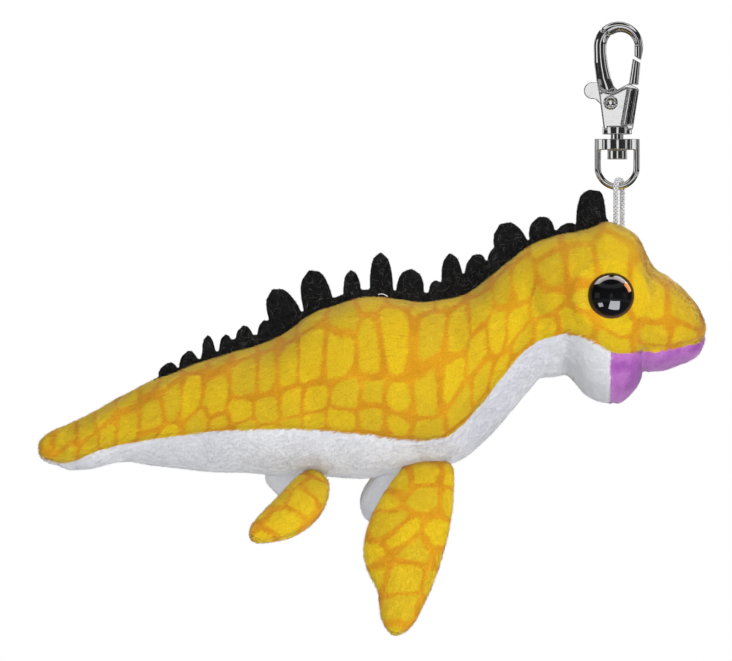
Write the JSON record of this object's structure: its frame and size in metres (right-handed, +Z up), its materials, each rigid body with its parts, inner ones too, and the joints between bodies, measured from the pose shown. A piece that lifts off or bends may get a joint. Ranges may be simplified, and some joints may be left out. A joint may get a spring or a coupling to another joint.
{
  "type": "plush keychain",
  "caption": "Stuffed plush marine reptile with a felt spike crest, domed eyes, open mouth and flippers, on a short braided cord loop with a swivelling spring-gate clasp.",
  "frame": {"origin": "centre of the hook's eye, where the keychain hangs from a ring, on the toy's middle plane", "axes": "+X from the tail to the snout, +Z up through the clasp, -Y to the toy's left side, which is the pictured one"},
  "size_m": [0.1394, 0.0608, 0.1296],
  "materials": {
    "yellow_plush": "short-pile plush, bright yellow cells between orange veins",
    "white_plush": "smooth short-pile plush, cool white",
    "purple_plush": "short-pile plush, purple",
    "black_felt": "pressed felt, black with fine light fibres",
    "fibre_fill": "loose polyester fibre filling",
    "eye_plastic": "polished black",
    "washer_plastic": "plain moulded",
    "cord_braid": "braided silver-white cord",
    "clasp_chrome": "polished plated zinc casting",
    "spring_steel": "bare wire"
  },
  "bodies": {
    "plush": {"skin_left": "yellow_plush", "skin_right": "yellow_plush", "belly_skin": "white_plush", "jaw_skin": "white_plush", "palate_lining": "purple_plush", "jaw_lining": "purple_plush", "body_stuffing": "fibre_fill", "spine_crest": "black_felt", "eye_left": "eye_plastic", "eye_right": "eye_plastic", "eye_washer_left": "washer_plastic", "eye_washer_right": "washer_plastic", "cord_knot": "cord_braid"},
    "front_left_flipper": {"front_left_outer": "yellow_plush", "front_left_inner": "white_plush", "front_left_core": "fibre_fill"},
    "front_right_flipper": {"front_right_outer": "yellow_plush", "front_right_inner": "white_plush", "front_right_core": "fibre_fill"},
    "rear_left_flipper": {"rear_left_outer": "yellow_plush", "rear_left_inner": "white_plush", "rear_left_core": "fibre_fill"},
    "rear_right_flipper": {"rear_right_outer": "yellow_plush", "rear_right_inner": "white_plush", "rear_right_core": "fibre_fill"},
    "cord": {"cord_loop": "cord_braid"},
    "ring": {"swivel_ring": "clasp_chrome"},
    "hook": {"hook_body": "clasp_chrome", "gate_rivet": "clasp_chrome", "gate_spring": "spring_steel", "swivel_post": "clasp_chrome"},
    "gate": {"gate_lever": "clasp_chrome"}
  },
  "joints": [
    {"name": "front_left_flap", "type": "hinge", "parent": "plush", "child": "front_left_flipper", "pos_m": [-0.04049, -0.006, -0.0888], "axis": [-1, 0, 0], "range_deg": [-12, 40], "stiffness_Nm_per_rad": 0.02},
    {"name": "front_right_flap", "type": "hinge", "parent": "plush", "child": "front_right_flipper", "pos_m": [-0.04489, 0.006, -0.0888], "axis": [1, 0, 0], "range_deg": [-50, 8], "stiffness_Nm_per_rad": 0.02},
    {"name": "rear_left_flap", "type": "hinge", "parent": "plush", "child": "rear_left_flipper", "pos_m": [-0.06399, -0.006, -0.0911], "axis": [-1, 0, 0], "range_deg": [-20, 25], "stiffness_Nm_per_rad": 0.01},
    {"name": "rear_right_flap", "type": "hinge", "parent": "plush", "child": "rear_right_flipper", "pos_m": [-0.07169, 0.006, -0.0901], "axis": [1, 0, 0], "range_deg": [-50, 5], "stiffness_Nm_per_rad": 0.01},
    {"name": "cord_swing", "type": "hinge", "parent": "plush", "child": "cord", "pos_m": [-0.00029, 0, -0.0372], "axis": [0, 1, 0], "range_deg": [-6, 70]},
    {"name": "ring_sway", "type": "hinge", "parent": "cord", "child": "ring", "pos_m": [-0.00069, 0, -0.0295], "axis": [1, 0, 0], "range_deg": [-85, 85]},
    {"name": "hook_swivel", "type": "hinge", "parent": "ring", "child": "hook", "pos_m": [-0.00069, 0, -0.0206], "axis": [0, 0, 1], "continuous": true},
    {"name": "gate_pivot", "type": "hinge", "parent": "hook", "child": "gate", "pos_m": [-0.00209, 0, -0.01185], "axis": [0, -1, 0], "range_deg": [0, 30], "stiffness_Nm_per_rad": 0.02, "springref_deg": -20.05}
  ]
}
